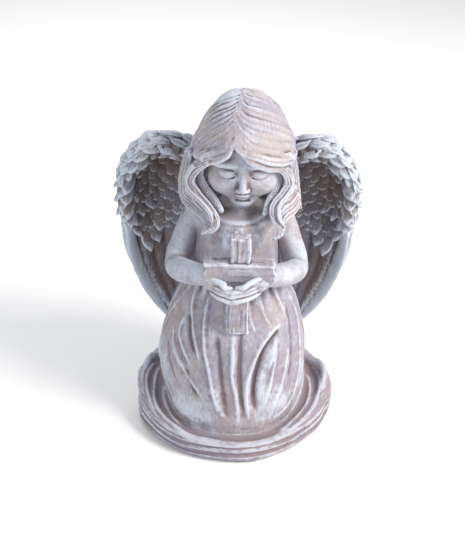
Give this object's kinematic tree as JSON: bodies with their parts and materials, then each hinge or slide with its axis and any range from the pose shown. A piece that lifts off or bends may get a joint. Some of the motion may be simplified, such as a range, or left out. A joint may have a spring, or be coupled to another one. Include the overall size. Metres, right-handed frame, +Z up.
{
  "type": "kneeling angel figurine",
  "caption": "Kneeling winged angel child with bowed head and long wavy hair, holding an upright cross in both hands, on a round draped base.",
  "frame": {"origin": "centre of the base's footprint, on the felt face that rests on the table", "axes": "+Z up towards the crown of the head, -Y the way the figure faces, +X towards the figure's left hand"},
  "size_m": [0.1826, 0.16, 0.2548],
  "materials": {
    "resin_gown": "matte",
    "resin_base": "matte",
    "resin_head": "matte",
    "resin_arms": "matte",
    "resin_cross": "matte",
    "resin_wings": "matte",
    "wool_felt": "matte",
    "rubber_bung": "matte",
    "steel_rod": "satin"
  },
  "bodies": {
    "root": {"base_felt": "wool_felt", "base_casting": "resin_base", "pour_hole_plug": "rubber_bung", "gown_casting": "resin_gown", "head_casting": "resin_head", "left_arm": "resin_arms", "right_arm": "resin_arms", "cross": "resin_cross", "left_wing": "resin_wings", "right_wing": "resin_wings", "neck_dowel": "steel_rod", "wing_dowels": "steel_rod", "arm_dowels": "steel_rod"}
  },
  "joints": []
}
